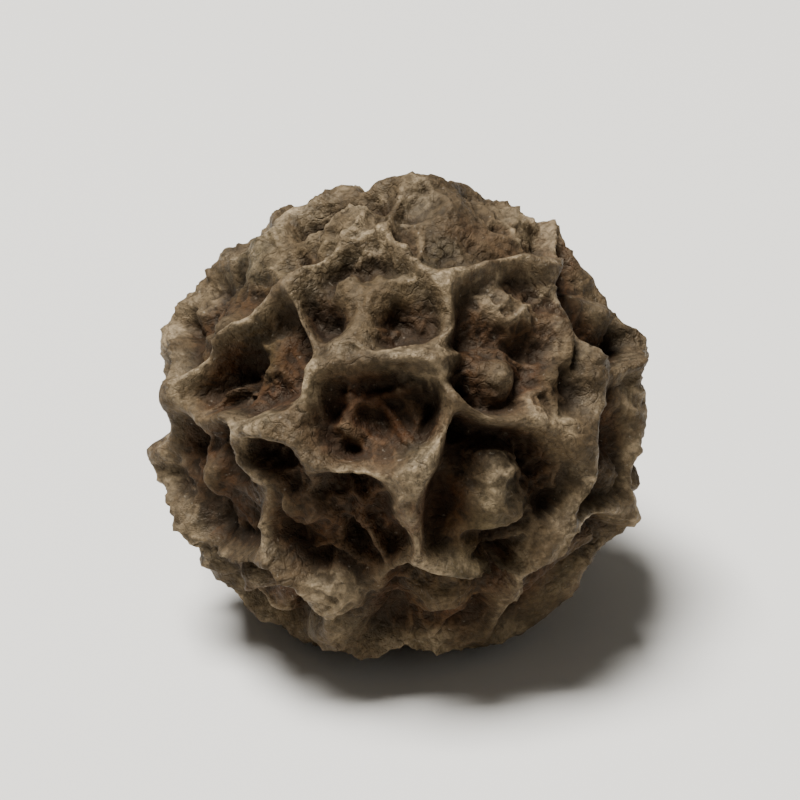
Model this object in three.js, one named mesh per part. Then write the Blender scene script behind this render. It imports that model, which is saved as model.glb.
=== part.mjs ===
// A black peppercorn: the dried unripe fruit of the pepper vine, a hard wrinkled ball about 5 mm across.
// As the fruit dries, its soft flesh shrinks onto the round seed and is left standing as a raised net:
// thick rounded ridges round hollows of many shapes, with short spurs and finer wrinkles in the hollows.
// It grew as one piece, so it is one closed body: a slightly flattened ball with the net raised on it
// by a formula. Millimetres, +Z up. The origin lies on the surface that the peppercorn rests on, under
// the middle of its box. The side with the hand-placed hollows looks along -Y and upwards.

import * as THREE from "three";
import { mergeVertices } from "three/addons/utils/BufferGeometryUtils.js";

// Driving dimensions, in millimetres
const HALF_LENGTH = 2.79; // from the middle to the corners of the net, along X
const HALF_WIDTH = 2.61; // along Y
const HALF_HEIGHT = 2.56; // along Z
const MEAN_RADIUS = (HALF_LENGTH + HALF_WIDTH + HALF_HEIGHT) / 3;
const LOPSIDED = 0.03; // how far the whole ball swells and shrinks
const PEAK_HEIGHT = 0.13; // broad swelling at the top of the side that is seen
const PEAK_RADIUS = 1;
const HOLLOW_DEPTH = 0.56; // from the ball through the corners down to the floor of a hollow
const HOLLOW_BLEND = 0.6; // width over which one hollow's depth passes into the next one's
const FLOOR_WANDER = 0.09; // rise and fall of the floors
const MOUND_RADIUS = 0.4; // swelling in the middle of a hollow
const PIT_RING = 0.47; // from the middle of a hollow to the small pits round its mound
const PIT_RADIUS = 0.13;
const PIT_DEPTH = 0.12;
const CORNER_WANDER = 0.035; // how far the corners of the net stand above or below the ball
const RIDGE_HALF_WIDTH = 0.135; // from a crest to halfway down its side
const RIDGE_BEND = 0.11; // how far the ridges wander sideways
const RIDGE_KINK = 0.045; // how far they wander in shorter swings
const CREST_WANDER = 0.03;
const CREST_TOP = 0.03; // above the ball, where the highest crests end
const CREST_WEAR = 0.05; // what would stand higher is rubbed down over about this much
const WRINKLE_HEIGHT = 0.2; // finer wrinkles on the hollow floors
const WRINKLE_HALF_WIDTH = 0.12;
const WRINKLE_ROUNDING = 0.05; // where wrinkles meet
const WRINKLE_BEND = 0.07;
const LUMP_HEIGHT = 0.016; // lumps and dents all over, on the crests too
const FOOT_WEAR = 0.3; // how far the lowest crests are worn flat where the peppercorn rests
const SCAR_RADIUS = 0.4; // round scar where the fruit sat on its spike
const SCAR_DEPTH = 0.25;
const SCAR_SLOPE = 0.14; // of its wall, to either side of the rim
const SCAR_RIM_WIDTH = 0.1;
const SCAR_RIM_HEIGHT = 0.05;
const STUB_RADIUS = 0.18; // rest of the stalk in the scar
const STUB_HEIGHT = 0.12;
const STYLE_TIP_RADIUS = 0.16; // small point opposite the scar, left by the flower
const STYLE_TIP_HEIGHT = 0.08;

// Shares and counts
const RIDGE_SQUARENESS = 2.4; // 2 gives a bell-shaped ridge, more gives a broader crest and steeper sides
const RIDGE_ROUNDING = 0.38; // where ridges meet, as a share of their half-width
const DEEPEST_DIP = 0.4; // how low a ridge may sag between its corners, as a share of HOLLOW_DEPTH
const MOUND_SHARE = 0.8; // of a hollow's depth, for a mound of 1
const SPUR_SHARE = 0.6; // of the drawn hollows have a spur running into them
const HOLLOW_COUNT = 42;
const HOLLOW_TRIES = 12; // more tries spread the cells more evenly
const MOST_PITS = 5;
const WRINKLE_CELL_COUNT = 190;
const WRINKLE_TRIES = 6;
const WAVES_IN_A_FIELD = 7;
const SURFACE_STEPS = 23; // new points on each edge of the starting icosahedron
const PATCH_RADIUS = 0.05;
const PATCH_SAMPLES = 6;
const SLIDE_ROUNDS = 8;
const SLIDE_SHARE = 0.5;
const SEED = 2207;

// Lengths of the swells in the random fields, in millimetres
const LOPSIDED_LENGTH = 5;
const BEND_LENGTH = 1.7;
const KINK_LENGTH = 0.8;
const CREST_LENGTH = 0.8;
const WIDTH_LENGTH = 0.9;
const WRINKLE_PATCH_LENGTH = 1;
const FLOOR_LENGTH = 0.9;
const LUMP_LENGTH = 0.5;

// Ranges that are drawn from
const DRAWN_DEPTH = [0.7, 1.2]; // of a hollow, as a share of HOLLOW_DEPTH
const DRAWN_WRINKLING = [0.5, 1.2];
const RIDGE_WIDTHS = [0.8, 1.4]; // as a share of RIDGE_HALF_WIDTH
const WIDTH_WANDER = 0.25; // how much a ridge's width varies along it
const SPUR_PARENTS = 3; // a spur leaves one of the nearest few ridges
const SPUR_START = [0.35, 0.65]; // along its parent ridge
const SPUR_REACH = [0.55, 0.95]; // of the way from there to the middle of the hollow
const SPUR_WIDTHS = [0.6, 0.85];
const SPUR_DROP = 0.05; // in millimetres, from the parent's crest to the start of the spur's
const SPUR_END_DEPTH = 0.75; // of the hollow's depth
const PIT_STRAY = [0, 0.5]; // how far a pit strays round the ring, as a share of the way to the next
const PIT_RINGS = [0.8, 1.2]; // as a share of PIT_RING
const PIT_DEPTHS = [0.5, 1.5]; // as a share of PIT_DEPTH
const WRINKLE_STRENGTH = 0.55; // its mean and its swing from patch to patch

// The side seen from here has the hand-placed hollows
const VIEW_ELEVATION = THREE.MathUtils.degToRad(27);

// Hollows of that side. Each has its place across and up the round outline as a share of the radius,
// its depth as a share of HOLLOW_DEPTH, how far a mound fills its middle, how many small pits lie round
// the mound and how wrinkled it is.
const SEEN_HOLLOWS = [
  { across: -0.17, up: 0.49, depth: 0.75, mound: 0.9, pits: 5, wrinkled: 0.3 }, // ring round a mound
  { across: -0.67, up: 0.18, depth: 1.2, mound: 0.1, pits: 2, wrinkled: 0.35, spur: true },
  { across: -0.17, up: 0.04, depth: 1.15, mound: 0.3, pits: 3, wrinkled: 0.6 }, // large and dark
  { across: 0.52, up: 0.3, depth: 0.8, mound: 0.35, pits: 5, wrinkled: 0.6 },
  { across: 0.43, up: -0.3, depth: 1, mound: 0.65, pits: 4, wrinkled: 0.5 }, // oval round a mound
  { across: 0.31, up: 0.79, depth: 0.38, mound: 0.4, pits: 1, wrinkled: 0.2 }, // shallow shoulder
  { across: -0.4, up: 0.79, depth: 0.42, mound: 0.5, pits: 2, wrinkled: 0.3 },
  { across: -0.72, up: 0.58, depth: 0.5, mound: 0.4, pits: 2, wrinkled: 0.4 },
  { across: -0.27, up: -0.42, depth: 1.1, mound: 0.5, pits: 4, wrinkled: 0.8, spur: true },
  { across: -0.8, up: -0.24, depth: 0.95, mound: 0.4, pits: 2, wrinkled: 0.7 },
  { across: 0.87, up: -0.1, depth: 0.8, mound: 0.4, pits: 3, wrinkled: 0.7 },
  { across: 0.12, up: -0.78, depth: 0.9, mound: 0.5, pits: 3, wrinkled: 0.8 },
  { across: 0.74, up: -0.6, depth: 0.9, mound: 0.4, pits: 3, wrinkled: 0.7 },
  { across: 0.86, up: 0.42, depth: 0.7, mound: 0.4, pits: 2, wrinkled: 0.6 },
  { across: -0.6, up: -0.74, depth: 0.9, mound: 0.4, pits: 3, wrinkled: 0.8, spur: true },
];
const SEEN_SIDE = 0.25; // no drawn hollow has its middle facing the viewer by more than this
const FOOT_HOLLOWS = 3; // they share the lowest point, and the ridges between them are the foot
const FOOT_HOLLOW_TILT = 0.36; // in radians, off the lowest point
const FOOT_HOLLOW_TURN = 2.1;
const SEEN_PEAK = { across: 0.05, up: 0.92 };
const STALK_SCAR = new THREE.Vector3(0.72, 0.62, 0.31).normalize();

// A stream of numbers from 0 to 1, the same each run
let state = SEED;
function draw() {
  state = (Math.imul(state, 1664525) + 1013904223) >>> 0;
  return state / 4294967296;
}

function drawBetween([low, high]) {
  return low + (high - low) * draw();
}

function drawDirection() {
  const z = drawBetween([-1, 1]);
  const turn = 2 * Math.PI * draw();
  const reach = Math.sqrt(1 - z * z);
  return new THREE.Vector3(reach * Math.cos(turn), reach * Math.sin(turn), z);
}

// A smooth random field with swells about as long as wavelength: a sum of plane waves
function makeField(wavelength) {
  const waves = [];
  for (let i = 0; i < WAVES_IN_A_FIELD; i++) {
    const along = drawDirection().multiplyScalar((2 * Math.PI) / wavelength);
    waves.push({ along, phase: 2 * Math.PI * draw() });
  }
  const scale = Math.sqrt(2 / WAVES_IN_A_FIELD);
  return (point) => waves.reduce((sum, w) => sum + Math.sin(w.along.dot(point) + w.phase), 0) * scale;
}

// Adds cells in the widest of a few drawn places until there are count of them
function fillWithCells(cells, count, tries, isFree = () => true) {
  while (cells.length < count) {
    let best = null;
    let leastDot = Infinity;
    for (let i = 0; i < tries; i++) {
      const direction = drawDirection();
      const nearestDot = Math.max(-1, ...cells.map((cell) => cell.direction.dot(direction)));
      if (nearestDot < leastDot && isFree(direction)) {
        leastDot = nearestDot;
        best = direction;
      }
    }
    const depth = drawBetween(DRAWN_DEPTH);
    const mound = draw();
    const pits = Math.floor((MOST_PITS + 1) * draw());
    const wrinkled = drawBetween(DRAWN_WRINKLING);
    const spur = draw() < SPUR_SHARE;
    if (best) cells.push({ direction: best, depth, mound, pits, wrinkled, spur });
  }
  return cells;
}

function seenDirection({ across, up }) {
  const towards = Math.sqrt(Math.max(0, 1 - across * across - up * up));
  const sin = Math.sin(VIEW_ELEVATION);
  const cos = Math.cos(VIEW_ELEVATION);
  return new THREE.Vector3(across, up * sin - towards * cos, up * cos + towards * sin).normalize();
}

function makeHollows() {
  const cells = SEEN_HOLLOWS.map((hollow) => ({ ...hollow, direction: seenDirection(hollow) }));
  for (let i = 0; i < FOOT_HOLLOWS; i++) {
    const turn = FOOT_HOLLOW_TURN + (i * 2 * Math.PI) / FOOT_HOLLOWS;
    const direction = new THREE.Vector3(0, 0, -1).applyAxisAngle(
      new THREE.Vector3(Math.cos(turn), Math.sin(turn), 0),
      FOOT_HOLLOW_TILT,
    );
    cells.push({ direction, depth: 0.8, mound: 0.3, pits: 2, wrinkled: 0.3 });
  }
  cells.push({ direction: STALK_SCAR, depth: 0.5, mound: 0, pits: 0, wrinkled: 0 });
  const towardsViewer = seenDirection({ across: 0, up: 0 });
  const isUnseen = (direction) => direction.dot(towardsViewer) < SEEN_SIDE;
  return fillWithCells(cells, HOLLOW_COUNT, HOLLOW_TRIES, isUnseen);
}

// Small pits in a ring round the middle of each hollow
function makePits(hollows) {
  const pits = [];
  for (const hollow of hollows) {
    const start = 2 * Math.PI * draw();
    for (let i = 0; i < hollow.pits; i++) {
      const turn = start + ((i + drawBetween(PIT_STRAY)) * 2 * Math.PI) / hollow.pits;
      const tilt = (PIT_RING * drawBetween(PIT_RINGS)) / MEAN_RADIUS;
      const axis = new THREE.Vector3(-hollow.direction.y, hollow.direction.x, 0).normalize();
      const direction = hollow.direction.clone().applyAxisAngle(axis, tilt);
      direction.applyAxisAngle(hollow.direction, turn);
      const depth = PIT_DEPTH * drawBetween(PIT_DEPTHS);
      pits.push({ place: direction.multiplyScalar(MEAN_RADIUS), depth });
    }
  }
  return pits;
}

function smoothStep(from, to, value) {
  const t = Math.min(1, Math.max(0, (value - from) / (to - from)));
  return t * t * (3 - 2 * t);
}

// 1 in the middle, down to about a third at one width from it
function bell(distance, width) {
  return Math.exp(-Math.pow(distance / width, 2));
}

const lopsidedField = makeField(LOPSIDED_LENGTH);
const bendFields = [1, 2, 3].map(() => makeField(BEND_LENGTH));
const kinkFields = [1, 2, 3].map(() => makeField(KINK_LENGTH));
const crestField = makeField(CREST_LENGTH);
const widthField = makeField(WIDTH_LENGTH);
const wrinkleField = makeField(WRINKLE_PATCH_LENGTH);
const floorField = makeField(FLOOR_LENGTH);
const lumpField = makeField(LUMP_LENGTH);
const peak = seenDirection(SEEN_PEAK);
const hollows = makeHollows();
const pits = makePits(hollows);
const wrinkleCells = fillWithCells([], WRINKLE_CELL_COUNT, WRINKLE_TRIES);

// Radius of the ball that the corners of the net lie on
function ballRadius(direction) {
  const { x, y, z } = direction;
  const ellipsoid = 1 / Math.hypot(x / HALF_LENGTH, y / HALF_WIDTH, z / HALF_HEIGHT);
  const fromPeak = MEAN_RADIUS * direction.distanceTo(peak);
  const swelling = PEAK_HEIGHT * bell(fromPeak, PEAK_RADIUS);
  return ellipsoid + swelling + LOPSIDED * lopsidedField(direction.clone().multiplyScalar(MEAN_RADIUS));
}

// A height above the level of the highest crests, with what would pass it rubbed down
function worn(height) {
  return -CREST_WEAR * Math.log(Math.exp(-height / CREST_WEAR) + 1);
}

// The corners of the net: each lies as far from three hollows, with no other hollow nearer
function findCorners() {
  const corners = [];
  for (let i = 0; i < hollows.length; i++) {
    for (let j = i + 1; j < hollows.length; j++) {
      for (let k = j + 1; k < hollows.length; k++) {
        const [a, b, c] = [i, j, k].map((index) => hollows[index].direction);
        const direction = b.clone().sub(a).cross(c.clone().sub(a)).normalize();
        if (direction.dot(a) < 0) direction.negate();
        const reach = direction.dot(a) + 1e-9;
        if (hollows.some((hollow) => hollow.direction.dot(direction) > reach)) continue;
        const radius = ballRadius(direction) + CORNER_WANDER * drawBetween([-1, 1]);
        corners.push({ direction, radius, meets: [i, j, k] });
      }
    }
  }
  return corners;
}

// A ridge runs from one corner to the other along each border between two hollows
function findRidges(corners) {
  const ends = new Map();
  for (const corner of corners) {
    const [i, j, k] = corner.meets;
    for (const border of [`${i} ${j}`, `${i} ${k}`, `${j} ${k}`]) {
      ends.set(border, [...(ends.get(border) ?? []), corner]);
    }
  }
  return [...ends.values()].map(([from, to]) => ({
    from: from.direction.clone().multiplyScalar(MEAN_RADIUS),
    to: to.direction.clone().multiplyScalar(MEAN_RADIUS),
    fromCrest: from.radius,
    toCrest: to.radius,
    halfWidth: RIDGE_HALF_WIDTH * drawBetween(RIDGE_WIDTHS),
    dip: DEEPEST_DIP * HOLLOW_DEPTH * Math.pow(draw(), 3),
  }));
}

function crestRadius(ridge, share) {
  const straight = ridge.from
    .clone()
    .multiplyScalar(ridge.fromCrest / MEAN_RADIUS)
    .lerp(ridge.to.clone().multiplyScalar(ridge.toCrest / MEAN_RADIUS), share)
    .length();
  return straight - ridge.dip * 4 * share * (1 - share);
}

// A spur leaves the middle of a ridge and sinks to the floor on its way into a hollow
function makeSpurs(ridges) {
  const spurs = [];
  for (const hollow of hollows) {
    const middle = hollow.direction.clone().multiplyScalar(MEAN_RADIUS);
    const distance = (ridge) => middle.distanceTo(ridge.from.clone().lerp(ridge.to, 0.5));
    const byDistance = [...ridges].sort((a, b) => distance(a) - distance(b));
    const parent = byDistance[Math.floor(SPUR_PARENTS * draw())];
    const share = drawBetween(SPUR_START);
    const reach = drawBetween(SPUR_REACH);
    const width = drawBetween(SPUR_WIDTHS);
    if (!hollow.spur) continue;
    const from = parent.from.clone().lerp(parent.to, share).setLength(MEAN_RADIUS);
    const to = from.clone().lerp(middle, reach).setLength(MEAN_RADIUS);
    const sunk = SPUR_END_DEPTH * hollow.depth * HOLLOW_DEPTH;
    spurs.push({
      from,
      to,
      fromCrest: crestRadius(parent, share) - SPUR_DROP,
      toCrest: ballRadius(to.clone().normalize()) - sunk,
      halfWidth: width * RIDGE_HALF_WIDTH,
      dip: 0,
    });
  }
  return spurs;
}

const netRidges = findRidges(findCorners());
const ridges = [...netRidges, ...makeSpurs(netRidges)];

// A direction moved a little sideways, so that straight borders wander
function bent(direction, bend, kink) {
  const point = direction.clone().multiplyScalar(MEAN_RADIUS);
  const shift = bendFields.map((long, i) => bend * long(point) + kink * kinkFields[i](point));
  return point.add(new THREE.Vector3(...shift)).setLength(MEAN_RADIUS);
}

// How far a place is from the crests about it, in ridge half-widths, and how high those crests are.
// Ridges that meet are rounded together.
function placeInNet(point, place) {
  const widen = 1 + WIDTH_WANDER * widthField(point);
  const along = new THREE.Vector3();
  const nearest = new THREE.Vector3();
  let weights = 0;
  let crests = 0;
  for (const ridge of ridges) {
    along.copy(ridge.to).sub(ridge.from);
    const reached = nearest.copy(place).sub(ridge.from).dot(along) / along.lengthSq();
    const share = Math.min(1, Math.max(0, reached));
    nearest.copy(ridge.from).addScaledVector(along, share).setLength(MEAN_RADIUS);
    const away = nearest.distanceTo(place) / (ridge.halfWidth * widen);
    const weight = Math.exp(-away / RIDGE_ROUNDING);
    weights += weight;
    crests += weight * crestRadius(ridge, share);
  }
  return { away: Math.max(0, -RIDGE_ROUNDING * Math.log(weights)), crest: crests / weights };
}

// Depth, mound and wrinkles of the hollows, each hollow's passing softly into the next one's
function mixHollows(place) {
  let depths = 0;
  let wrinkles = 0;
  let mound = 0;
  let sum = 0;
  for (const hollow of hollows) {
    const distance = hollow.direction.clone().multiplyScalar(MEAN_RADIUS).distanceTo(place);
    const weight = bell(distance, HOLLOW_BLEND);
    sum += weight;
    depths += weight * hollow.depth;
    wrinkles += weight * hollow.wrinkled;
    mound += hollow.mound * bell(distance, MOUND_RADIUS);
  }
  return { depth: depths / sum, wrinkled: wrinkles / sum, mound };
}

function pitDepth(place) {
  return pits.reduce((sum, pit) => sum + pit.depth * bell(pit.place.distanceTo(place), PIT_RADIUS), 0);
}

// How far the fine wrinkles stand up, at the borders of their own smaller cells
function wrinkleHeight(point, place) {
  const dots = wrinkleCells.map((cell) => cell.direction.dot(place));
  const own = dots.indexOf(Math.max(...dots));
  let sum = 0;
  for (let i = 0; i < dots.length; i++) {
    if (i === own) continue;
    const apart = wrinkleCells[i].direction.distanceTo(wrinkleCells[own].direction);
    sum += Math.exp(-(dots[own] - dots[i]) / apart / WRINKLE_ROUNDING);
  }
  const toBorder = Math.max(0, -WRINKLE_ROUNDING * Math.log(sum));
  const strength = WRINKLE_STRENGTH * Math.max(0, 1 + wrinkleField(point));
  return WRINKLE_HEIGHT * strength * Math.exp(-Math.pow(toBorder / WRINKLE_HALF_WIDTH, 2));
}

// Distance from the middle of the peppercorn to its surface
function surfaceRadius(direction) {
  const ball = ballRadius(direction);
  const point = direction.clone().multiplyScalar(MEAN_RADIUS);
  const place = bent(direction, RIDGE_BEND, RIDGE_KINK);
  const { away, crest } = placeInNet(point, place);
  const { depth, mound, wrinkled } = mixHollows(place);
  const sunk = HOLLOW_DEPTH * depth * (1 - MOUND_SHARE * mound) + pitDepth(place);
  const floor = ball - sunk + FLOOR_WANDER * floorField(point);
  const onRidge = Math.exp(-Math.pow(away, RIDGE_SQUARENESS));
  const wrinkles = wrinkled * wrinkleHeight(point, bent(direction, WRINKLE_BEND, RIDGE_KINK));
  const uneven = CREST_WANDER * crestField(point);
  const unworn = THREE.MathUtils.lerp(floor + wrinkles, crest, onRidge) + uneven;
  const top = ball + CREST_TOP;
  const skin = top + worn(unworn - top) + LUMP_HEIGHT * lumpField(point);

  const fromScar = MEAN_RADIUS * direction.angleTo(STALK_SCAR);
  const scarFloor = ball - SCAR_DEPTH + STUB_HEIGHT * bell(fromScar, STUB_RADIUS);
  const outOfScar = smoothStep(SCAR_RADIUS - SCAR_SLOPE, SCAR_RADIUS + SCAR_SLOPE, fromScar);
  const rim = SCAR_RIM_HEIGHT * bell(fromScar - SCAR_RADIUS, SCAR_RIM_WIDTH);
  const fromTip = MEAN_RADIUS * (Math.PI - direction.angleTo(STALK_SCAR));
  const tip = STYLE_TIP_HEIGHT * bell(fromTip, STYLE_TIP_RADIUS);
  return THREE.MathUtils.lerp(scarFloor, skin, outOfScar) + rim + tip;
}

// The mean surface over the small patch that one point stands for, so that relief finer than the
// triangles doesn't turn into noise
function patchRadius(direction) {
  const sideways = new THREE.Vector3(-direction.y, direction.x, 0);
  if (sideways.lengthSq() < 1e-6) sideways.set(1, 0, 0);
  sideways.setLength(PATCH_RADIUS / MEAN_RADIUS);
  let sum = surfaceRadius(direction);
  for (let i = 0; i < PATCH_SAMPLES; i++) {
    const offset = sideways.clone().applyAxisAngle(direction, (i * 2 * Math.PI) / PATCH_SAMPLES);
    sum += surfaceRadius(direction.clone().add(offset).normalize());
  }
  return sum / (PATCH_SAMPLES + 1);
}

function findNeighbours(index, count) {
  const neighbours = Array.from({ length: count }, () => new Set());
  for (let i = 0; i < index.count; i += 3) {
    const [a, b, c] = [index.getX(i), index.getX(i + 1), index.getX(i + 2)];
    neighbours[a].add(b).add(c);
    neighbours[b].add(a).add(c);
    neighbours[c].add(a).add(b);
  }
  return neighbours;
}

// The surface's points, first spread evenly by direction and then slid along the surface towards the
// middle of their neighbours, so that the steep sides of the ridges get their share of them
function spreadPoints(geometry) {
  const positions = geometry.attributes.position;
  const neighbours = findNeighbours(geometry.index, positions.count);
  let points = [];
  for (let i = 0; i < positions.count; i++) {
    const direction = new THREE.Vector3().fromBufferAttribute(positions, i).normalize();
    points.push(direction.multiplyScalar(surfaceRadius(direction)));
  }
  for (let round = 0; round < SLIDE_ROUNDS; round++) {
    points = points.map((point, i) => {
      const middle = new THREE.Vector3();
      for (const n of neighbours[i]) middle.add(points[n]);
      middle.divideScalar(neighbours[i].size);
      const direction = point.clone().lerp(middle, SLIDE_SHARE).normalize();
      const radius = round < SLIDE_ROUNDS - 1 ? surfaceRadius(direction) : patchRadius(direction);
      return direction.multiplyScalar(radius);
    });
  }
  return points;
}

function makePeppercorn() {
  const ball = new THREE.IcosahedronGeometry(1, SURFACE_STEPS);
  ball.deleteAttribute("normal");
  ball.deleteAttribute("uv");
  const geometry = mergeVertices(ball, 1e-4);
  const positions = geometry.attributes.position;
  spreadPoints(geometry).forEach((point, i) => positions.setXYZ(i, point.x, point.y, point.z));

  geometry.computeBoundingBox();
  const wornLevel = geometry.boundingBox.min.z + FOOT_WEAR;
  for (let i = 0; i < positions.count; i++) {
    positions.setZ(i, Math.max(0, positions.getZ(i) - wornLevel));
  }
  geometry.computeBoundingBox();
  const middle = geometry.boundingBox.getCenter(new THREE.Vector3());
  geometry.translate(-middle.x, -middle.y, 0);
  geometry.computeVertexNormals();
  return geometry;
}

const driedSkin = new THREE.MeshStandardMaterial({ color: 0x4a3d2f, roughness: 0.68, metalness: 0 });
const peppercorn = new THREE.Mesh(makePeppercorn(), driedSkin);
peppercorn.name = "peppercorn";

const part = new THREE.Group();
part.add(peppercorn);
export default part;
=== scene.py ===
"""A black peppercorn: the dried unripe fruit of the pepper vine, wrinkled into a net of ridges.

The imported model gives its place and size. The skin that is shown is raised from a fine ball by
the same formula as the solid, carries finer wrinkles than the solid can, and is coloured by how
high and how folded each point of it is. Lengths are in millimetres until the points are written
in metres.
"""

import itertools
import math
from dataclasses import dataclass

import bpy
import numpy as np
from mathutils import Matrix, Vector, noise


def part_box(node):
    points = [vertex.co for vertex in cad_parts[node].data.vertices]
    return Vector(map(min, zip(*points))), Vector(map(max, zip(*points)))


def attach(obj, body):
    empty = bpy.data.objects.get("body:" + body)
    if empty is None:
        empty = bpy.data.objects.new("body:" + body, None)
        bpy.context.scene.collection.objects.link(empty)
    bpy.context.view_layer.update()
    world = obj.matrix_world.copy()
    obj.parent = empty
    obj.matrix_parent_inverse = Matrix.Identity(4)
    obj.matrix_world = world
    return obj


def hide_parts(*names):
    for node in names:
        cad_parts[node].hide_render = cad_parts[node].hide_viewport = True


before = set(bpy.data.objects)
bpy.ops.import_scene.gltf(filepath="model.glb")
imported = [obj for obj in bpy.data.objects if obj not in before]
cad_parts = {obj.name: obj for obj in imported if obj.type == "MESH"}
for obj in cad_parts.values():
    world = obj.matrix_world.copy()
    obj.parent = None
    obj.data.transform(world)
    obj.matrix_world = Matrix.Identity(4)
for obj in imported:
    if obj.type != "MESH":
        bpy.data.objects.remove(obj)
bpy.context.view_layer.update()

MM = 0.001

# The net of ridges: the same driving values as the solid's, in millimetres
HALF_SIZES = np.array([2.79, 2.61, 2.56])  # from the middle to the corners of the net
MEAN_RADIUS = HALF_SIZES.mean()
LOPSIDED = 0.03  # how far the whole ball swells and shrinks
PEAK_HEIGHT = 0.13  # broad swelling at the top of the side that is seen
PEAK_RADIUS = 1
HOLLOW_DEPTH = 0.56  # from the ball through the corners down to the floor of a hollow
HOLLOW_BLEND = 0.6  # width over which one hollow's depth passes into the next one's
FLOOR_WANDER = 0.09  # rise and fall of the floors
MOUND_RADIUS = 0.4  # swelling in the middle of a hollow
PIT_RING = 0.47  # from the middle of a hollow to the small pits round its mound
PIT_RADIUS = 0.13
PIT_DEPTH = 0.12
CORNER_WANDER = 0.035  # how far the corners of the net stand above or below the ball
RIDGE_HALF_WIDTH = 0.135  # from a crest to halfway down its side
RIDGE_BEND = 0.11  # how far the ridges wander sideways
RIDGE_KINK = 0.045  # how far they wander in shorter swings
CREST_WANDER = 0.03
CREST_TOP = 0.03  # above the ball, where the highest crests end
CREST_WEAR = 0.05  # crests that stand higher than the ball are rubbed down over about this much
WRINKLE_HEIGHT = 0.2  # finer wrinkles on the hollow floors
WRINKLE_HALF_WIDTH = 0.12
WRINKLE_ROUNDING = 0.05  # where wrinkles meet
WRINKLE_BEND = 0.07
LUMP_HEIGHT = 0.016  # lumps and dents all over, on the crests too
FOOT_WEAR = 0.3  # how far the lowest crests are worn flat where the peppercorn rests
SCAR_RADIUS = 0.4  # round scar where the fruit sat on its spike
SCAR_DEPTH = 0.25
SCAR_SLOPE = 0.14  # of its wall, to either side of the rim
SCAR_RIM_WIDTH = 0.1
SCAR_RIM_HEIGHT = 0.05
STUB_RADIUS = 0.18  # rest of the stalk in the scar
STUB_HEIGHT = 0.12
STYLE_TIP_RADIUS = 0.16  # small point opposite the scar, left by the flower
STYLE_TIP_HEIGHT = 0.08

# Shares and counts of the net
RIDGE_SQUARENESS = 2.4  # 2 gives a bell-shaped ridge, more gives a broader crest and steeper sides
RIDGE_ROUNDING = 0.38  # where ridges meet, as a share of their half-width
DEEPEST_DIP = 0.4  # how low a ridge may sag between its corners, as a share of HOLLOW_DEPTH
MOUND_SHARE = 0.8  # of a hollow's depth, for a mound of 1
SPUR_SHARE = 0.6  # of the drawn hollows have a spur running into them
HOLLOW_COUNT = 42
HOLLOW_TRIES = 12  # more tries spread the cells more evenly
MOST_PITS = 5
WRINKLE_CELL_COUNT = 190
WRINKLE_TRIES = 6
WAVES_IN_A_FIELD = 7
ROUNDING_ERROR = 1e-9  # in comparing how near two hollows are
SEED = 2207

# Lengths of the swells in the random fields
LOPSIDED_LENGTH = 5
BEND_LENGTH = 1.7
KINK_LENGTH = 0.8
CREST_LENGTH = 0.8
WIDTH_LENGTH = 0.9
WRINKLE_PATCH_LENGTH = 1
FLOOR_LENGTH = 0.9
LUMP_LENGTH = 0.5

# Ranges that are drawn from
DRAWN_DEPTH = (0.7, 1.2)  # of a hollow, as a share of HOLLOW_DEPTH
DRAWN_WRINKLING = (0.5, 1.2)
RIDGE_WIDTHS = (0.8, 1.4)  # as a share of RIDGE_HALF_WIDTH
WIDTH_WANDER = 0.25  # how much a ridge's width varies along it
SPUR_PARENTS = 3  # a spur leaves one of the nearest few ridges
SPUR_START = (0.35, 0.65)  # along its parent ridge
SPUR_REACH = (0.55, 0.95)  # of the way from there to the middle of the hollow
SPUR_WIDTHS = (0.6, 0.85)
SPUR_DROP = 0.05  # in millimetres, from the parent's crest to the start of the spur's
SPUR_END_DEPTH = 0.75  # of the hollow's depth
PIT_STRAY = (0, 0.5)  # how far a pit strays round the ring, as a share of the way to the next
PIT_RINGS = (0.8, 1.2)  # as a share of PIT_RING
PIT_DEPTHS = (0.5, 1.5)  # as a share of PIT_DEPTH
WRINKLE_STRENGTH = 0.55  # its mean and its swing from patch to patch

VIEW_ELEVATION = math.radians(27)  # the side seen from here has the listed hollows
SEEN_SIDE = 0.25  # no drawn hollow has its middle facing the viewer by more than this
FOOT_HOLLOWS = 3  # they share the lowest point, and the ridges between them are the foot
FOOT_HOLLOW_TILT = 0.36  # in radians, off the lowest point
FOOT_HOLLOW_TURN = 2.1


@dataclass
class Hollow:
    """A hollow between ridges. Depth, mound and wrinkling are shares; pits lie round the mound."""

    direction: np.ndarray
    depth: float
    mound: float
    pits: int
    wrinkled: float
    spur: bool = False


@dataclass
class Ridge:
    """A ridge, or a spur of one, between two places on the mean ball."""

    start: np.ndarray
    end: np.ndarray
    start_crest: float
    end_crest: float
    half_width: float
    dip: float


state = SEED


def draw():
    """The next number of a stream from 0 to 1 that is the same each run."""
    global state
    state = (state * 1664525 + 1013904223) % 2**32
    return state / 2**32


def draw_between(limits):
    low, high = limits
    return low + (high - low) * draw()


def draw_direction():
    z = draw_between((-1, 1))
    turn = 2 * math.pi * draw()
    reach = math.sqrt(1 - z * z)
    return np.array([reach * math.cos(turn), reach * math.sin(turn), z])


def make_field(wavelength):
    """A smooth random field with swells about as long as wavelength: a sum of plane waves."""
    waves = []
    for _ in range(WAVES_IN_A_FIELD):
        along = draw_direction() * 2 * math.pi / wavelength
        waves.append((along, 2 * math.pi * draw()))
    scale = math.sqrt(2 / WAVES_IN_A_FIELD)
    return lambda points: scale * sum(np.sin(points @ along + phase) for along, phase in waves)


def unit(vectors):
    return vectors / np.linalg.norm(vectors, axis=-1, keepdims=True)


def length(vectors):
    return np.linalg.norm(vectors, axis=-1)


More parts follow.
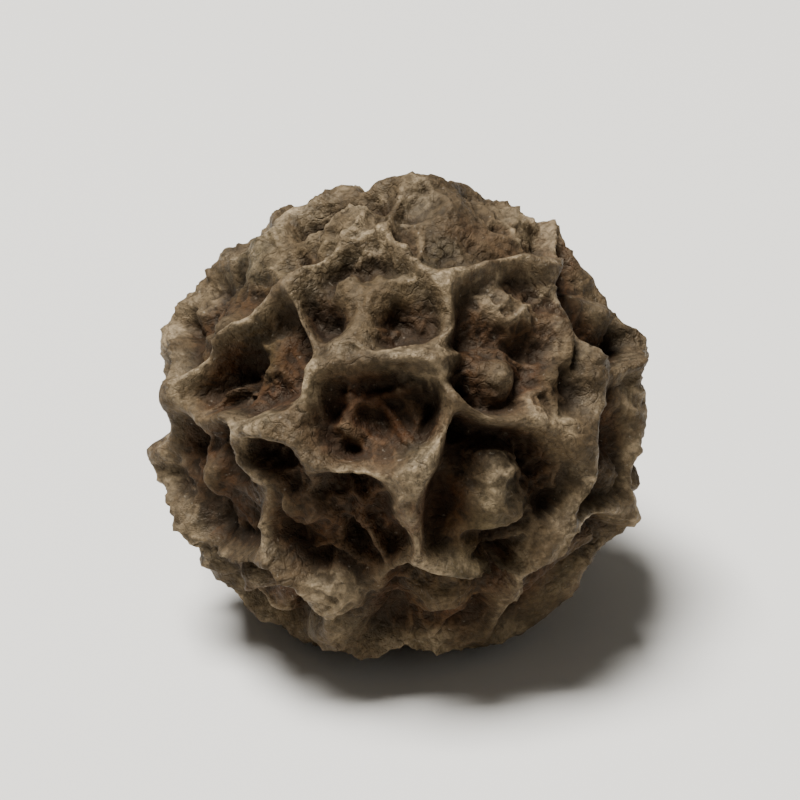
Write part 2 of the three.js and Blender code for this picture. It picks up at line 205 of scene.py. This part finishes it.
def bell(distance, width):
    """1 in the middle, down to about a third at one width from it."""
    return np.exp(-((distance / width) ** 2))


def smooth_step(start, end, value):
    t = np.clip((value - start) / (end - start), 0, 1)
    return t * t * (3 - 2 * t)


def turned(direction, axis, angle):
    along = axis * (axis @ direction) * (1 - math.cos(angle))
    return direction * math.cos(angle) + np.cross(axis, direction) * math.sin(angle) + along


def seen_direction(across, up):
    """The direction of a place on the round outline that is seen, in shares of the radius."""
    towards = math.sqrt(max(0, 1 - across * across - up * up))
    sin, cos = math.sin(VIEW_ELEVATION), math.cos(VIEW_ELEVATION)
    return unit(np.array([across, up * sin - towards * cos, up * cos + towards * sin]))


def seen_hollow(across, up, depth, mound, pits, wrinkled, spur=False):
    return Hollow(seen_direction(across, up), depth, mound, pits, wrinkled, spur)


SEEN_HOLLOWS = [
    seen_hollow(-0.17, 0.49, depth=0.75, mound=0.9, pits=5, wrinkled=0.3),  # ring round a mound
    seen_hollow(-0.67, 0.18, depth=1.2, mound=0.1, pits=2, wrinkled=0.35, spur=True),
    seen_hollow(-0.17, 0.04, depth=1.15, mound=0.3, pits=3, wrinkled=0.6),  # large and dark
    seen_hollow(0.52, 0.3, depth=0.8, mound=0.35, pits=5, wrinkled=0.6),
    seen_hollow(0.43, -0.3, depth=1, mound=0.65, pits=4, wrinkled=0.5),  # oval round a mound
    seen_hollow(0.31, 0.79, depth=0.38, mound=0.4, pits=1, wrinkled=0.2),  # shallow shoulder
    seen_hollow(-0.4, 0.79, depth=0.42, mound=0.5, pits=2, wrinkled=0.3),
    seen_hollow(-0.72, 0.58, depth=0.5, mound=0.4, pits=2, wrinkled=0.4),
    seen_hollow(-0.27, -0.42, depth=1.1, mound=0.5, pits=4, wrinkled=0.8, spur=True),
    seen_hollow(-0.8, -0.24, depth=0.95, mound=0.4, pits=2, wrinkled=0.7),
    seen_hollow(0.87, -0.1, depth=0.8, mound=0.4, pits=3, wrinkled=0.7),
    seen_hollow(0.12, -0.78, depth=0.9, mound=0.5, pits=3, wrinkled=0.8),
    seen_hollow(0.74, -0.6, depth=0.9, mound=0.4, pits=3, wrinkled=0.7),
    seen_hollow(0.86, 0.42, depth=0.7, mound=0.4, pits=2, wrinkled=0.6),
    seen_hollow(-0.6, -0.74, depth=0.9, mound=0.4, pits=3, wrinkled=0.8, spur=True),
]
STALK_SCAR = unit(np.array([0.72, 0.62, 0.31]))
PEAK = seen_direction(0.05, 0.92)


def fill_with_cells(cells, count, tries, is_free=lambda direction: True):
    """Adds cells in the widest of a few drawn places until there are count of them."""
    while len(cells) < count:
        best, least_dot = None, math.inf
        for _ in range(tries):
            direction = draw_direction()
            nearest_dot = max([-1, *(cell.direction @ direction for cell in cells)])
            if nearest_dot < least_dot and is_free(direction):
                best, least_dot = direction, nearest_dot
        depth = draw_between(DRAWN_DEPTH)
        mound = draw()
        pits = math.floor((MOST_PITS + 1) * draw())
        wrinkled = draw_between(DRAWN_WRINKLING)
        spur = draw() < SPUR_SHARE
        if best is not None:
            cells.append(Hollow(best, depth, mound, pits, wrinkled, spur))
    return cells


def make_hollows():
    cells = list(SEEN_HOLLOWS)
    for i in range(FOOT_HOLLOWS):
        turn = FOOT_HOLLOW_TURN + i * 2 * math.pi / FOOT_HOLLOWS
        axis = np.array([math.cos(turn), math.sin(turn), 0])
        direction = turned(np.array([0, 0, -1]), axis, FOOT_HOLLOW_TILT)
        cells.append(Hollow(direction, depth=0.8, mound=0.3, pits=2, wrinkled=0.3))
    cells.append(Hollow(STALK_SCAR, depth=0.5, mound=0, pits=0, wrinkled=0))
    towards_viewer = seen_direction(0, 0)

    def is_unseen(direction):
        return direction @ towards_viewer < SEEN_SIDE

    return fill_with_cells(cells, HOLLOW_COUNT, HOLLOW_TRIES, is_unseen)


def make_pits():
    """Small pits in a ring round the middle of each hollow, as places and depths."""
    pits = []
    for hollow in hollows:
        start = 2 * math.pi * draw()
        x, y, _ = hollow.direction
        axis = unit(np.array([-y, x, 0]))
        for i in range(hollow.pits):
            turn = start + (i + draw_between(PIT_STRAY)) * 2 * math.pi / hollow.pits
            tilt = PIT_RING * draw_between(PIT_RINGS) / MEAN_RADIUS
            direction = turned(turned(hollow.direction, axis, tilt), hollow.direction, turn)
            pits.append((direction * MEAN_RADIUS, PIT_DEPTH * draw_between(PIT_DEPTHS)))
    return pits


lopsided_field = make_field(LOPSIDED_LENGTH)
bend_fields = [make_field(BEND_LENGTH) for _ in range(3)]
kink_fields = [make_field(KINK_LENGTH) for _ in range(3)]
crest_field = make_field(CREST_LENGTH)
width_field = make_field(WIDTH_LENGTH)
wrinkle_field = make_field(WRINKLE_PATCH_LENGTH)
floor_field = make_field(FLOOR_LENGTH)
lump_field = make_field(LUMP_LENGTH)
hollows = make_hollows()
pits = make_pits()
wrinkle_cells = fill_with_cells([], WRINKLE_CELL_COUNT, WRINKLE_TRIES)


def ball_radius(directions):
    """Radius of the ball that the corners of the net lie on."""
    ellipsoid = 1 / length(directions / HALF_SIZES)
    swelling = PEAK_HEIGHT * bell(MEAN_RADIUS * length(directions - PEAK), PEAK_RADIUS)
    return ellipsoid + swelling + LOPSIDED * lopsided_field(directions * MEAN_RADIUS)


def worn(height):
    """A height above the level of the highest crests, with what would pass it rubbed down."""
    return -CREST_WEAR * np.log(np.exp(-height / CREST_WEAR) + 1)


def find_corners():
    """The corners of the net: each lies as far from three hollows, with no other hollow nearer."""
    corners = []
    middles = np.array([hollow.direction for hollow in hollows])
    for meets in itertools.combinations(range(len(hollows)), 3):
        a, b, c = middles[list(meets)]
        direction = unit(np.cross(b - a, c - a))
        if direction @ a < 0:
            direction = -direction
        if (middles @ direction).max() > direction @ a + ROUNDING_ERROR:
            continue
        radius = ball_radius(direction) + CORNER_WANDER * draw_between((-1, 1))
        corners.append((direction, radius, meets))
    return corners


def find_ridges(corners):
    """A ridge runs from one corner to the other along each border between two hollows."""
    ends = {}
    for direction, radius, (i, j, k) in corners:
        for border in ((i, j), (i, k), (j, k)):
            ends.setdefault(border, []).append((direction * MEAN_RADIUS, radius))
    ridges = []
    for (start, start_crest), (end, end_crest) in ends.values():
        half_width = RIDGE_HALF_WIDTH * draw_between(RIDGE_WIDTHS)
        dip = DEEPEST_DIP * HOLLOW_DEPTH * draw() ** 3
        ridges.append(Ridge(start, end, start_crest, end_crest, half_width, dip))
    return ridges


def crest_radius(ridge, share):
    """Height of a crest at a share of its way: a straight beam that sags by the ridge's dip."""
    start = ridge.start * ridge.start_crest / MEAN_RADIUS
    end = ridge.end * ridge.end_crest / MEAN_RADIUS
    beam = start + np.multiply.outer(share, end - start)
    return length(beam) - ridge.dip * 4 * share * (1 - share)


def make_spurs(ridges):
    """A spur leaves the middle of a ridge and sinks to the floor on its way into a hollow."""
    spurs = []
    for hollow in hollows:
        middle = hollow.direction * MEAN_RADIUS
        distances = [length(middle - (ridge.start + ridge.end) / 2) for ridge in ridges]
        parent = ridges[np.argsort(distances, kind="stable")[math.floor(SPUR_PARENTS * draw())]]
        share = draw_between(SPUR_START)
        reach = draw_between(SPUR_REACH)
        width = draw_between(SPUR_WIDTHS)
        if not hollow.spur:
            continue
        start = unit(parent.start + share * (parent.end - parent.start)) * MEAN_RADIUS
        end = unit(start + reach * (middle - start)) * MEAN_RADIUS
        start_crest = crest_radius(parent, share) - SPUR_DROP
        end_crest = ball_radius(unit(end)) - SPUR_END_DEPTH * hollow.depth * HOLLOW_DEPTH
        spurs.append(Ridge(start, end, start_crest, end_crest, width * RIDGE_HALF_WIDTH, dip=0))
    return spurs


net_ridges = find_ridges(find_corners())
ridges = net_ridges + make_spurs(net_ridges)


def bent(directions, bend, kink):
    """Directions moved a little sideways, so that straight borders wander."""
    points = directions * MEAN_RADIUS
    fields = zip(bend_fields, kink_fields)
    shift = [bend * long(points) + kink * short(points) for long, short in fields]
    return unit(points + np.stack(shift, axis=-1)) * MEAN_RADIUS


def places_in_net(points, places):
    """How far places are from the crests about them, in ridge half-widths, and the radius of
    those crests. Ridges that meet are rounded together."""
    widen = 1 + WIDTH_WANDER * width_field(points)
    weights = np.zeros(len(places))
    crests = np.zeros(len(places))
    for ridge in ridges:
        along = ridge.end - ridge.start
        share = np.clip((places - ridge.start) @ along / (along @ along), 0, 1)
        nearest = unit(ridge.start + np.multiply.outer(share, along)) * MEAN_RADIUS
        away = length(nearest - places) / (ridge.half_width * widen)
        weight = np.exp(-away / RIDGE_ROUNDING)
        weights += weight
        crests += weight * crest_radius(ridge, share)
    return np.maximum(0, -RIDGE_ROUNDING * np.log(weights)), crests / weights


def mix_hollows(places):
    """Depth, mound and wrinkling, each hollow's passing softly into the next one's."""
    depths, wrinkling, mound, total = (np.zeros(len(places)) for _ in range(4))
    for hollow in hollows:
        distance = length(places - hollow.direction * MEAN_RADIUS)
        weight = bell(distance, HOLLOW_BLEND)
        total += weight
        depths += weight * hollow.depth
        wrinkling += weight * hollow.wrinkled
        mound += hollow.mound * bell(distance, MOUND_RADIUS)
    return depths / total, mound, wrinkling / total


def pit_depth(places):
    return sum(depth * bell(length(places - pit), PIT_RADIUS) for pit, depth in pits)


def wrinkle_height(points, places):
    """How far the fine wrinkles stand up, at the borders of their own smaller cells."""
    middles = np.array([cell.direction for cell in wrinkle_cells])
    apart = length(middles[:, None] - middles[None])
    np.fill_diagonal(apart, 1)
    dots = places @ middles.T
    own = dots.argmax(axis=1)
    own_dots = dots[np.arange(len(own)), own]
    nearness = np.exp(-(own_dots[:, None] - dots) / apart[own] / WRINKLE_ROUNDING)
    nearness[np.arange(len(own)), own] = 0
    to_border = np.maximum(0, -WRINKLE_ROUNDING * np.log(nearness.sum(axis=1)))
    strength = WRINKLE_STRENGTH * np.maximum(0, 1 + wrinkle_field(points))
    return WRINKLE_HEIGHT * strength * bell(to_border, WRINKLE_HALF_WIDTH)


def surface_radius(directions):
    """Distance from the middle of the peppercorn to its surface."""
    ball = ball_radius(directions)
    points = directions * MEAN_RADIUS
    places = bent(directions, RIDGE_BEND, RIDGE_KINK)
    away, crest = places_in_net(points, places)
    on_ridge = np.exp(-(away**RIDGE_SQUARENESS))
    depth, mound, wrinkled = mix_hollows(places)
    sunk = HOLLOW_DEPTH * depth * (1 - MOUND_SHARE * mound) + pit_depth(places)
    wrinkles = wrinkled * wrinkle_height(points, bent(directions, WRINKLE_BEND, RIDGE_KINK))
    floor = ball - sunk + FLOOR_WANDER * floor_field(points) + wrinkles
    skin = floor + (crest - floor) * on_ridge + CREST_WANDER * crest_field(points)
    top = ball + CREST_TOP
    skin = top + worn(skin - top) + LUMP_HEIGHT * lump_field(points)

    scar_angle = np.arccos(np.clip(directions @ STALK_SCAR, -1, 1))
    from_scar = MEAN_RADIUS * scar_angle
    scar_floor = ball - SCAR_DEPTH + STUB_HEIGHT * bell(from_scar, STUB_RADIUS)
    out_of_scar = smooth_step(SCAR_RADIUS - SCAR_SLOPE, SCAR_RADIUS + SCAR_SLOPE, from_scar)
    rim = SCAR_RIM_HEIGHT * bell(from_scar - SCAR_RADIUS, SCAR_RIM_WIDTH)
    tip = STYLE_TIP_HEIGHT * bell(MEAN_RADIUS * (math.pi - scar_angle), STYLE_TIP_RADIUS)
    return scar_floor + (skin - scar_floor) * out_of_scar + rim + tip


def distance_from_crests(directions):
    """How far each direction is from the nearest crests of the net, in ridge half-widths."""
    places = bent(directions, RIDGE_BEND, RIDGE_KINK)
    return places_in_net(directions * MEAN_RADIUS, places)[0]


# The fine skin
BALL_SUBDIVISIONS = 6
EDGE_CUTS = 2
COARSE_SLIDES = 8
FINE_SLIDES = 2
SLIDE_SHARE = 0.5
POINTS_AT_ONCE = 16000
FINE_WRINKLES = [  # spacing, height, and half-width as a share of the noise's swing
    (0.42, 0.05, 0.13),
    (0.21, 0.032, 0.15),
    (0.12, 0.018, 0.2),
]
FULL_WRINKLE = 0.06  # millimetres, the height of a wrinkle that is lightened in full
WRINKLE_PATCHES = 1.1  # millimetres across the patches with higher or lower fine wrinkles
PATCH_MEAN = 0.85  # how high they are there, as a share of their height
PATCH_SWING = 0.9
PATCH_LIMITS = (0.4, 1.3)
CREST_FOLD_HEIGHT = 0.055  # fold of skin along the crests
CREST_FOLD_WIDTH = 0.7  # in ridge half-widths
CREST_SINK = 0.045  # the crests sink by this first, so that the fold keeps their height
CREST_SINK_WIDTH = 1.5  # in ridge half-widths
CREST_FOLD_PATCHES = 0.7  # millimetres from where it stands up to where it is worn off
CREST_FOLD_MEAN = 0.6  # how much of it is left, on average
CREST_SMOOTHNESS = 0.1  # share of the fine wrinkles that is rubbed off the crests
FULL_CREST = 0.8  # fold at which that is rubbed off in full
SCAR_EDGE = (0.8 * SCAR_RADIUS, 1.2 * SCAR_RADIUS)  # where its pale colour fades
FOLDS = {  # rounds of averaging over neighbours, and height above them that makes a full crest
    "fold": (40, 0.09),
    "fine_fold": (5, 0.012),
}


def read_points(mesh):
    flat = np.empty(3 * len(mesh.vertices))
    mesh.vertices.foreach_get("co", flat)
    return flat.reshape(-1, 3) / MM


def write_points(mesh, points):
    mesh.vertices.foreach_set("co", (points * MM).ravel())
    mesh.update()


def read_edges(mesh):
    flat = np.empty(2 * len(mesh.edges), dtype=np.int32)
    mesh.edges.foreach_get("vertices", flat)
    return flat.reshape(-1, 2)


def mean_of_neighbours(values, edges):
    """The mean over the neighbours of each point, for values with one or more columns."""
    columns = values.reshape(len(values), -1)
    count = np.bincount(edges.ravel(), minlength=len(values))
    means = []
    for column in columns.T:
        total = np.bincount(edges[:, 0], column[edges[:, 1]], len(values))
        total += np.bincount(edges[:, 1], column[edges[:, 0]], len(values))
        means.append(total / count)
    return np.stack(means, axis=1).reshape(values.shape)


def in_parts(measure, directions):
    """Measures a few directions at a time, which keeps the arrays small."""
    parts = np.array_split(directions, math.ceil(len(directions) / POINTS_AT_ONCE))
    return np.concatenate([measure(part) for part in parts])


def raised(directions):
    """Points on the peppercorn's surface in these directions."""
    return directions * in_parts(surface_radius, directions)[:, None]


def slide_on_surface(mesh, rounds):
    """Raises the points and slides them towards their neighbours, so that the steep sides of the
    ridges get their share of them."""
    edges = read_edges(mesh)
    points = raised(unit(read_points(mesh)))
    for _ in range(rounds):
        middles = mean_of_neighbours(points, edges)
        points = raised(unit(points + SLIDE_SHARE * (middles - points)))
    write_points(mesh, points)


def measure_folds(points, edges, rounds, full_height):
    """How far each point stands above its surroundings, from -1 in a pit to 1 on a crest."""
    radius = length(points)
    around = radius
    for _ in range(rounds):
        around = mean_of_neighbours(around, edges)
    return np.clip((radius - around) / full_height, -1, 1)


def smooth_noise(points, size):
    return np.array([noise.noise(Vector(point)) for point in points / size])


def fine_relief(points):
    """Heights of the fine wrinkles, which run where a smooth noise crosses zero."""
    relief = np.zeros(len(points))
    for size, height, width in FINE_WRINKLES:
        relief += height * bell(smooth_noise(points, size), width)
    patches = PATCH_MEAN + PATCH_SWING * smooth_noise(points, WRINKLE_PATCHES)
    return relief * np.clip(patches, *PATCH_LIMITS)


def add_attribute(mesh, name, values):
    attribute = mesh.attributes.new(name, "FLOAT", "POINT")
    attribute.data.foreach_set("value", values.astype(np.float32))


def make_skin():
    bpy.ops.object.select_all(action="DESELECT")
    bpy.ops.mesh.primitive_ico_sphere_add(subdivisions=BALL_SUBDIVISIONS, radius=MEAN_RADIUS * MM)
    skin = bpy.context.object
    skin.name = "wrinkled_skin"
    mesh = skin.data
    slide_on_surface(mesh, COARSE_SLIDES)
    bpy.ops.object.mode_set(mode="EDIT")
    bpy.ops.mesh.select_all(action="SELECT")
    bpy.ops.mesh.subdivide(number_cuts=EDGE_CUTS)
    bpy.ops.object.mode_set(mode="OBJECT")
    slide_on_surface(mesh, FINE_SLIDES)

    points = read_points(mesh)
    directions = unit(points)
    edges = read_edges(mesh)
    crest = smooth_step(0, FULL_CREST, measure_folds(points, edges, *FOLDS["fold"]))
    rise = smooth_step(-HOLLOW_DEPTH, 0, length(points) - ball_radius(directions))
    away = in_parts(distance_from_crests, directions)
    unworn = np.clip(CREST_FOLD_MEAN + smooth_noise(points, CREST_FOLD_PATCHES), 0, 1)
    crest_fold = CREST_FOLD_HEIGHT * unworn * bell(away, CREST_FOLD_WIDTH)
    crest_fold -= CREST_SINK * bell(away, CREST_SINK_WIDTH)
    wrinkles = fine_relief(points) * (1 - CREST_SMOOTHNESS * crest)
    low, high = points.min(axis=0), points.max(axis=0)
    points += directions * (wrinkles - wrinkles.mean() + crest_fold)[:, None]
    from_scar = MEAN_RADIUS * np.arccos(np.clip(directions @ STALK_SCAR, -1, 1))
    for name, scale in FOLDS.items():
        add_attribute(mesh, name, measure_folds(points, edges, *scale))
    add_attribute(mesh, "rise", rise)
    add_attribute(mesh, "wrinkle", wrinkles / FULL_WRINKLE)
    add_attribute(mesh, "ridge", np.exp(-(away**2)))
    add_attribute(mesh, "scar", 1 - smooth_step(*SCAR_EDGE, from_scar))

    points[:, :2] -= (low + high)[:2] / 2
    points[:, 2] = np.maximum(0, points[:, 2] - low[2] - FOOT_WEAR)
    write_points(mesh, points)
    bpy.ops.object.shade_smooth()
    return skin


skin = make_skin()


# Dried pepper skin, as it comes off the drying floor: a dull, hard, almost black-brown shell. The
# crests are rubbed to a greyish tan, the hollows stay dark with their own brown and with painted
# shade; painted shade also darkens crevices and creases; no two patches have quite one tone.
SKIN_IOR = 1.45
SKIN_SPECULAR = 0.42  # a little under the usual half, because the skin is dry
SKIN_SPECULAR_TINT = "#efdfc4"  # its brown also warms the light that glances off it
SCAR_PALENESS = 0.7
# share of painted shade laid along the creases
CREASE_DARKNESS = 0.25
CREST_POLISH = 0.14  # taken off the roughness where the crests are rubbed
MIDDLE_OF_NOISE = 0.5
CREASE_HALF_WIDTH = 0.05  # to either side of that
PEBBLE_SIZE = 0.075


@dataclass
class Pattern:
    """A noise with swells about as long as its size, in millimetres."""

    size: float
    detail: float = 2
    roughness: float = 0.5
    distortion: float = 0


PATTERNS = {
    "hollow_patches": Pattern(1.3),
    "upper_patches": Pattern(0.7, detail=3),
    "crest_patches": Pattern(0.5),
    "warm_patches": Pattern(1.6),
    "green_patches": Pattern(1.9, distortion=0.5),
    "creased_patches": Pattern(0.6),
    "dull_patches": Pattern(0.35, detail=3),
    "scrapes": Pattern(0.16, detail=5, roughness=0.7),
    "mottling": Pattern(0.07, detail=5, roughness=0.7),
    "dust": Pattern(0.06, detail=3),
    "grain": Pattern(0.1, detail=5, roughness=0.6),
    "long_swells": Pattern(0.17, detail=1),
    "short_swells": Pattern(0.08, detail=1),
}
SHARES = {  # the value that each goes by, two levels of it, and the share at each of them
    "light_hollow": ("hollow_patches", 0.35, 0.65, 0, 1),
    "light_upper": ("upper_patches", 0.35, 0.65, 0, 1),
    "light_crest": ("crest_patches", 0.4, 0.65, 0, 1),
    # darker the deeper a place lies in its hollow: partly the skin's own brown, partly painted
    # shade
    "out_of_hollow": ("rise", 0.12, 0.68, 0, 1),
    "warm": ("warm_patches", 0.52, 0.7, 0, 0.38),
    "green": ("green_patches", 0.55, 0.72, 0, 0.35),
    "crest": ("ridge", 0.72, 1, 0, 1),
    "crest_in_reach": ("rise", 0.15, 0.7, 0.3, 1),
    "shoulder": ("rise", 0.45, 0.88, 0, 0.5),
    "scraped": ("scrapes", 0.36, 0.62, 0.1, 1),
    "fine_crest": ("wrinkle", 0.3, 1, 0, 0.7),
    "fine_crest_in_reach": ("rise", 0.1, 0.8, 0.15, 1),
    # painted shade in the crevices: darker where the skin lies below its surroundings, more so deep
    # in the hollows
    "broad_crevice": ("fold", -0.2, -0.9, 0, 0.5),
    "fine_crevice": ("fine_fold", 0, -0.9, 0, 0.6),
    "painted_shade_deeper": ("rise", 0.35, 0.75, 1, 0.4),
    "mottled": ("mottling", 0.35, 0.65, 0.6, 1.2),
    "dusty": ("dust", 0.66, 0.78, 0, 0.2),
    "long_lines": ("long_swells", 0, CREASE_HALF_WIDTH, 1, 0),
    "short_creases": ("short_swells", 0, CREASE_HALF_WIDTH, 1, 0),
    "creased": ("creased_patches", 0.38, 0.56, 0, 1),
    "dull": ("dull_patches", 0.35, 0.7, 0.62, 0.86),
}
COMBINED = [  # a value, how it is combined, and with what other value or number
    ("crest_wear", "crest", "MULTIPLY", "crest_in_reach"),
    ("broad_wear", "crest_wear", "MAXIMUM", "shoulder"),
    ("scraped_wear", "broad_wear", "MULTIPLY", "scraped"),
    ("fine_wear", "fine_crest", "MULTIPLY", "fine_crest_in_reach"),
    ("worn", "scraped_wear", "MAXIMUM", "fine_wear"),
    ("crevice", "broad_crevice", "MAXIMUM", "fine_crevice"),
    ("painted_crevice_shade", "crevice", "MULTIPLY", "painted_shade_deeper"),
    ("pale_scar", "scar", "MULTIPLY", SCAR_PALENESS),
    # painted shade along the creases, which the bump also presses in
    ("long_creases", "long_lines", "MULTIPLY", "creased"),
    ("dark_creases", "long_creases", "MULTIPLY", CREASE_DARKNESS),
    ("polish", "ridge", "MULTIPLY", CREST_POLISH),
    ("roughness", "dull", "SUBTRACT", "polish"),
]
TONES = {  # dark and light tone, and the share of the light one
    "hollow": ("#231204", "#371e08", "light_hollow"),
    "upper": ("#2f2518", "#4b3d2a", "light_upper"),
    "crest": ("#4f412f", "#89785e", "light_crest"),
}
BUMPS = {  # how far each raises the skin, in millimetres
    "grain": 0.04,
    "long_creases": -0.006,
    "short_creases": -0.003,
    "pebbles": -0.02,
}
MIX_SHARE, MIX_UNDER, MIX_OVER, MIXED = 0, 6, 7, 2  # a Mix node's sockets for colours


def linear(hex_colour):
    """An sRGB hex colour as the linear colour that a shader takes."""
    channels = [int(hex_colour[i : i + 2], 16) / 255 for i in (1, 3, 5)]
    return (*(c / 12.92 if c <= 0.04045 else ((c + 0.055) / 1.055) ** 2.4 for c in channels), 1)


def per_mm(size):
    """A pattern's scale for a size in millimetres."""
    return 1 / (size * MM)


def add_node(tree, kind, inputs=None, output=0, **settings):
    """Adds a node with its settings and returns one of its outputs. Each input is a value, or the
    output that it is linked to."""
    made = tree.nodes.new(kind)
    for name, value in settings.items():
        setattr(made, name, value)
    for socket, value in (inputs or {}).items():
        if isinstance(value, bpy.types.NodeSocket):
            tree.links.new(value, made.inputs[socket])
        else:
            made.inputs[socket].default_value = value
    return made.outputs[output]


def add_values(tree):
    """Every share and pattern that the skin's finish goes by, as the outputs of nodes."""
    place = add_node(tree, "ShaderNodeTexCoord", output="Object")
    values = {}
    for name in ("fold", "fine_fold", "rise", "wrinkle", "ridge", "scar"):
        values[name] = add_node(tree, "ShaderNodeAttribute", output="Fac", attribute_name=name)
    for name, pattern in PATTERNS.items():
        inputs = {
            "Vector": place,
            "Scale": per_mm(pattern.size),
            "Detail": pattern.detail,
            "Roughness": pattern.roughness,
            "Distortion": pattern.distortion,
        }
        values[name] = add_node(tree, "ShaderNodeTexNoise", inputs, "Fac")
    for name in ("long_swells", "short_swells"):  # creases run where these pass their middle
        inputs = {0: values[name], 1: MIDDLE_OF_NOISE}
        off_middle = add_node(tree, "ShaderNodeMath", inputs, operation="SUBTRACT")
        values[name] = add_node(tree, "ShaderNodeMath", {0: off_middle}, operation="ABSOLUTE")
    pebbles = {"Vector": place, "Scale": per_mm(PEBBLE_SIZE)}
    values["pebbles"] = add_node(
        tree, "ShaderNodeTexVoronoi", pebbles, "Distance", feature="SMOOTH_F1"
    )
    for name, (source, low, high, share_low, share_high) in SHARES.items():
        levels = {"From Min": low, "From Max": high, "To Min": share_low, "To Max": share_high}
        inputs = {"Value": values[source], **levels}
        values[name] = add_node(
            tree, "ShaderNodeMapRange", inputs, "Result", interpolation_type="SMOOTHSTEP"
        )
    for name, one, operation, other in COMBINED:
        inputs = {0: values[one], 1: values.get(other, other)}
        values[name] = add_node(tree, "ShaderNodeMath", inputs, operation=operation)
    return values


def make_dried_skin():
    material = bpy.data.materials.new("dried pepper skin, rubbed on its crests")
    material.use_nodes = True
    tree = material.node_tree
    shader = tree.nodes["Principled BSDF"]
    values = add_values(tree)

    tones = {}
    for name, (dark, light, share) in TONES.items():
        inputs = {MIX_SHARE: values[share], MIX_UNDER: linear(dark), MIX_OVER: linear(light)}
        tones[name] = add_node(tree, "ShaderNodeMix", inputs, MIXED, data_type="RGBA")
    tone = tones["hollow"]
    layers = [  # share that each covers, its tone, and how it is laid on
        # darker the deeper a place lies in its hollow: partly the skin's own brown, partly painted
        # shade
        (values["out_of_hollow"], tones["upper"], "MIX"),
        (values["warm"], linear("#4d2b18"), "MIX"),
        (values["green"], linear("#45432b"), "MIX"),
        (values["worn"], tones["crest"], "MIX"),
        # painted shade: the crevices darkened towards near-black
        (values["painted_crevice_shade"], linear("#0c0603"), "MIX"),
        (1, values["mottled"], "MULTIPLY"),
        (values["pale_scar"], linear("#8c7a60"), "MIX"),
        (values["dusty"], linear("#b5aa98"), "MIX"),
        # painted shade along the creases
        (values["dark_creases"], linear("#120a05"), "MIX"),
    ]
    for share, over, blend_type in layers:
        inputs = {MIX_SHARE: share, MIX_UNDER: tone, MIX_OVER: over}
        settings = {"data_type": "RGBA", "blend_type": blend_type}
        tone = add_node(tree, "ShaderNodeMix", inputs, MIXED, **settings)
    tree.links.new(tone, shader.inputs["Base Color"])
    tree.links.new(values["roughness"], shader.inputs["Roughness"])
    shader.inputs["IOR"].default_value = SKIN_IOR
    shader.inputs["Specular IOR Level"].default_value = SKIN_SPECULAR
    shader.inputs["Specular Tint"].default_value = linear(SKIN_SPECULAR_TINT)

    height = 0
    for name, rise in BUMPS.items():
        inputs = {0: values[name], 1: rise, 2: height}
        height = add_node(tree, "ShaderNodeMath", inputs, operation="MULTIPLY_ADD")
    inputs = {"Height": height, "Strength": 1, "Distance": MM}
    tree.links.new(add_node(tree, "ShaderNodeBump", inputs), shader.inputs["Normal"])
    return material


skin.data.materials.append(make_dried_skin())
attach(skin, "root")
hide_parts("peppercorn")


# The setting: a pale matt floor under soft studio light
FLOOR_SIZE = 1200
FLOOR_ROUGHNESS = 0.9
ROOM_STRENGTH = 0.13
CAMERA_LENS = 100
FILLED_SHARE = 0.62  # of the picture's width
LAMPS = [  # place, width and power of each soft box, in millimetres and watts
    ((-60, -6, 234), 96, 1.7),
    ((150, -162, 132), 132, 0.024),
]


def make_floor():
    bpy.ops.object.select_all(action="DESELECT")
    bpy.ops.mesh.primitive_plane_add(size=FLOOR_SIZE * MM)
    floor = bpy.context.object
    floor.name = "pale_floor"
    material = bpy.data.materials.new("pale matt board")
    material.use_nodes = True
    shader = material.node_tree.nodes["Principled BSDF"]
    shader.inputs["Base Color"].default_value = linear("#dbd8d1")
    shader.inputs["Roughness"].default_value = FLOOR_ROUGHNESS
    floor.data.materials.append(material)


def make_lights(target):
    for place, width, power in LAMPS:
        position = Vector(place) * MM
        bpy.ops.object.light_add(type="AREA", location=position)
        lamp = bpy.context.object
        lamp.data.size = width * MM
        lamp.data.energy = power
        lamp.rotation_euler = (target - position).to_track_quat("-Z", "Y").to_euler()
    world = bpy.data.worlds.new("soft white room")
    world.use_nodes = True
    background = world.node_tree.nodes["Background"]
    background.inputs["Color"].default_value = linear("#fbf7f0")
    background.inputs["Strength"].default_value = ROOM_STRENGTH
    bpy.context.scene.world = world


def make_camera(target):
    bpy.ops.object.camera_add()
    camera = bpy.context.object
    camera.data.lens = CAMERA_LENS
    half_angle = math.atan(camera.data.sensor_width / 2 / CAMERA_LENS)
    distance = MEAN_RADIUS * MM / FILLED_SHARE / math.tan(half_angle)
    back = Vector((0, -math.cos(VIEW_ELEVATION), math.sin(VIEW_ELEVATION)))
    camera.location = target + back * distance
    camera.rotation_euler = (-back).to_track_quat("-Z", "Y").to_euler()
    camera.data.clip_start = distance / 100
    camera.data.clip_end = distance * 100
    bpy.context.scene.camera = camera


low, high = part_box("peppercorn")
middle = (Vector(low) + Vector(high)) / 2
make_floor()
make_lights(middle)
make_camera(middle)
